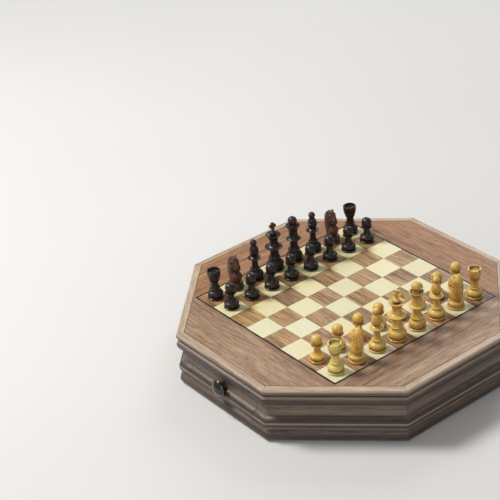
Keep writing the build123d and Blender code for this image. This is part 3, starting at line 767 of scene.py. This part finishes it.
for number in (1, 2):
    carved_knight(f"light_knight_{number}", -1, looks["boxwood"])
    carved_knight(f"dark_knight_{number}", 1, worn_knight)


# Materials of the CAD nodes, from the record's slots
for part in frame["record"]["subparts"]:
    node = frame["nodes"][part["node"]]
    node.data.materials.clear()
    node.data.materials.append(looks[part["material_slot"]])


def soften(name, width, sharp_angle):
    """Break the sharp edges of a CAD node by a small round."""
    node = frame["nodes"][name]
    weld = node.modifiers.new("weld", "WELD")
    weld.merge_threshold = 0.000002
    rounding = node.modifiers.new("rounding", "BEVEL")
    rounding.width = width
    rounding.segments = 2
    rounding.limit_method = "ANGLE"
    rounding.angle_limit = radians(sharp_angle)
    rounding.harden_normals = True


for name in ("side_boards", "drawer_side_frames", "top_moulding", "base_moulding"):
    soften(name, width=0.0003, sharp_angle=35.0)


# Loose fibres on the felt of the drawers
def node_group(name, inputs):
    """A geometry node group with a mesh input, named inputs and a mesh output."""
    group = bpy.data.node_groups.new(name, "GeometryNodeTree")
    group.interface.new_socket("Mesh", in_out="INPUT", socket_type="NodeSocketGeometry")
    for label, kind in inputs.items():
        group.interface.new_socket(label, in_out="INPUT", socket_type=kind)
    group.interface.new_socket("Mesh", in_out="OUTPUT", socket_type="NodeSocketGeometry")
    return group, group.nodes.new("NodeGroupInput"), group.nodes.new("NodeGroupOutput")


def fibre_group():
    """Scatter short bent fibres over a mesh."""
    inputs = {"Fibre": "NodeSocketObject", "Density": "NodeSocketFloat", "Finish": "NodeSocketMaterial"}
    group, given, made = node_group("fibres", inputs)
    link = group.links.new
    lean = 0.9
    points = group.nodes.new("GeometryNodeDistributePointsOnFaces")
    points.distribute_method = "RANDOM"
    points.inputs["Seed"].default_value = 7
    source = group.nodes.new("GeometryNodeObjectInfo")
    turn = group.nodes.new("FunctionNodeRandomValue")
    turn.data_type = "FLOAT_VECTOR"
    turn.inputs["Min"].default_value = (-lean, -lean, 0.0)
    turn.inputs["Max"].default_value = (lean, lean, 2 * pi)
    turn.inputs["Seed"].default_value = 11
    size = group.nodes.new("FunctionNodeRandomValue")
    minimum, maximum = [s for s in size.inputs if s.identifier in ("Min_001", "Max_001")]
    minimum.default_value = 0.5
    maximum.default_value = 1.2
    size.inputs["Seed"].default_value = 5
    placed = group.nodes.new("GeometryNodeInstanceOnPoints")
    real = group.nodes.new("GeometryNodeRealizeInstances")
    finish = group.nodes.new("GeometryNodeSetMaterial")
    link(given.outputs["Mesh"], points.inputs["Mesh"])
    link(given.outputs["Density"], points.inputs["Density"])
    link(given.outputs["Fibre"], source.inputs["Object"])
    link(points.outputs["Points"], placed.inputs["Points"])
    link(source.outputs["Geometry"], placed.inputs["Instance"])
    link(turn.outputs["Value"], placed.inputs["Rotation"])
    link(next(s for s in size.outputs if s.identifier == "Value_001"), placed.inputs["Scale"])
    link(placed.outputs["Instances"], real.inputs["Geometry"])
    link(real.outputs["Geometry"], finish.inputs["Geometry"])
    link(given.outputs["Finish"], finish.inputs["Material"])
    link(finish.outputs["Geometry"], made.inputs["Mesh"])
    return group


def run_group(piece, group, values):
    """Run a geometry node group on a piece and keep its result as a plain mesh."""
    modifier = piece.modifiers.new("group", "NODES")
    modifier.node_group = group
    for item in group.interface.items_tree:
        if item.in_out == "INPUT" and item.name in values:
            modifier[item.identifier] = values[item.name]
    bpy.context.view_layer.update()
    evaluated = piece.evaluated_get(bpy.context.evaluated_depsgraph_get())
    result = bpy.data.meshes.new_from_object(evaluated)
    piece.modifiers.remove(modifier)
    piece.data = result


def loose_fibre():
    """One bent felt fibre of three sides, half a millimetre long."""
    length, thick, bow, taper = 0.0005, 0.00003, 0.00016, 0.6
    points, faces = [], []
    for level in range(3):
        share = level / 2
        radius = thick * (1 - taper * share)
        for corner in range(3):
            angle = 2 * pi * corner / 3
            forward = bow * share * share + radius * cos(angle)
            points.append((forward, radius * sin(angle), length * share))
    for level in range(2):
        low = level * 3
        for corner in range(3):
            after = (corner + 1) % 3
            faces.append((low + corner, low + after, low + 3 + after, low + 3 + corner))
    faces += [(2, 1, 0), (6, 7, 8)]
    return plain_mesh("loose_fibre", points, faces)


def insert_fibres(side, group, fibre, density, least_slope):
    """Fuzz that stands on the felt of a drawer insert's upper faces."""
    insert = frame["nodes"][f"{side}_drawer_insert"]
    corners, faces = [], []
    for polygon in insert.data.polygons:
        if polygon.normal.z > least_slope:
            start = len(corners)
            corners += [tuple(insert.data.vertices[v].co) for v in polygon.vertices]
            faces.append(tuple(range(start, len(corners))))
    fuzz = plain_mesh(f"{side}_insert_fibres", corners, faces)
    run_group(fuzz, group, {"Fibre": fibre, "Density": density, "Finish": looks["insert_felt"]})
    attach(fuzz, f"{side}_drawer")


fibre = loose_fibre()
fibres = fibre_group()
for side_name in ("front", "rear"):
    insert_fibres(side_name, fibres, fibre, density=280000.0, least_slope=0.25)
bpy.data.objects.remove(fibre)


# Floor and light
def pale_floor():
    """A pale floor with hardly visible clouds."""
    shader = Shader("floor")
    x, y, _ = shader.place()
    cloud = shader.noise((x, y, 0.0), (3.0, 3.0, 1.0), 2.0)
    base = shader.mix(cloud, colour(232, 231, 229), colour(238, 237, 235))
    floor = plain_mesh("floor", [(-6, -6, 0), (6, -6, 0), (6, 6, 0), (-6, 6, 0)], [(0, 1, 2, 3)])
    floor.data.materials.append(shader.surface({"Base Color": base, "Roughness": 0.7}))


def area_light(name, place, target, size, power, tint=(1, 1, 1)):
    """A square lamp that points at a target."""
    lamp = bpy.data.lights.new(name, "AREA")
    lamp.shape = "SQUARE"
    lamp.size = size
    lamp.energy = power
    lamp.color = tint
    light = bpy.data.objects.new(name, lamp)
    light.location = place
    aim = Vector(target) - Vector(place)
    light.rotation_euler = aim.to_track_quat("-Z", "Y").to_euler()
    bpy.context.scene.collection.objects.link(light)


pale_floor()
area_light("key", (-0.95, -0.75, 1.55), (0, 0, 0.05), 0.5, 27.0, (1.0, 0.985, 0.96))
area_light("back", (-0.9, 1.5, 1.3), (0, 0, 0.05), 1.0, 9.0)
area_light("fill", (1.5, -1.4, 0.9), (0, 0, 0.03), 1.4, 6.0)

world = bpy.data.worlds.new("studio")
bpy.context.scene.world = world
world.use_nodes = True
background = world.node_tree.nodes["Background"]
background.inputs["Color"].default_value = (1.0, 1.0, 1.0, 1.0)
background.inputs["Strength"].default_value = 0.26

# Camera, fitted to the corners of the field and of the octagon
azimuth, elevation, roll = radians(53.53), radians(30.33), radians(-4.81)
target = Vector((-0.13785, -0.00632, 0.058))
distance = 1.6468
right = Vector((cos(azimuth), sin(azimuth), 0))
back = Vector((sin(azimuth) * cos(elevation), -cos(azimuth) * cos(elevation), sin(elevation)))
upward = back.cross(right)
side = right * cos(roll) + upward * sin(roll)
above = upward * cos(roll) - right * sin(roll)
lens = bpy.data.cameras.new("camera")
lens.lens = 112.5
lens.sensor_width = 36.0
lens.shift_x = -0.0044
camera = bpy.data.objects.new("camera", lens)
bpy.context.scene.collection.objects.link(camera)
place = target + back * distance
camera.matrix_world = Matrix((
    (side.x, above.x, back.x, place.x),
    (side.y, above.y, back.y, place.y),
    (side.z, above.z, back.z, place.z),
    (0, 0, 0, 1),
))
bpy.context.scene.camera = camera
bpy.context.scene.view_settings.view_transform = "Standard"
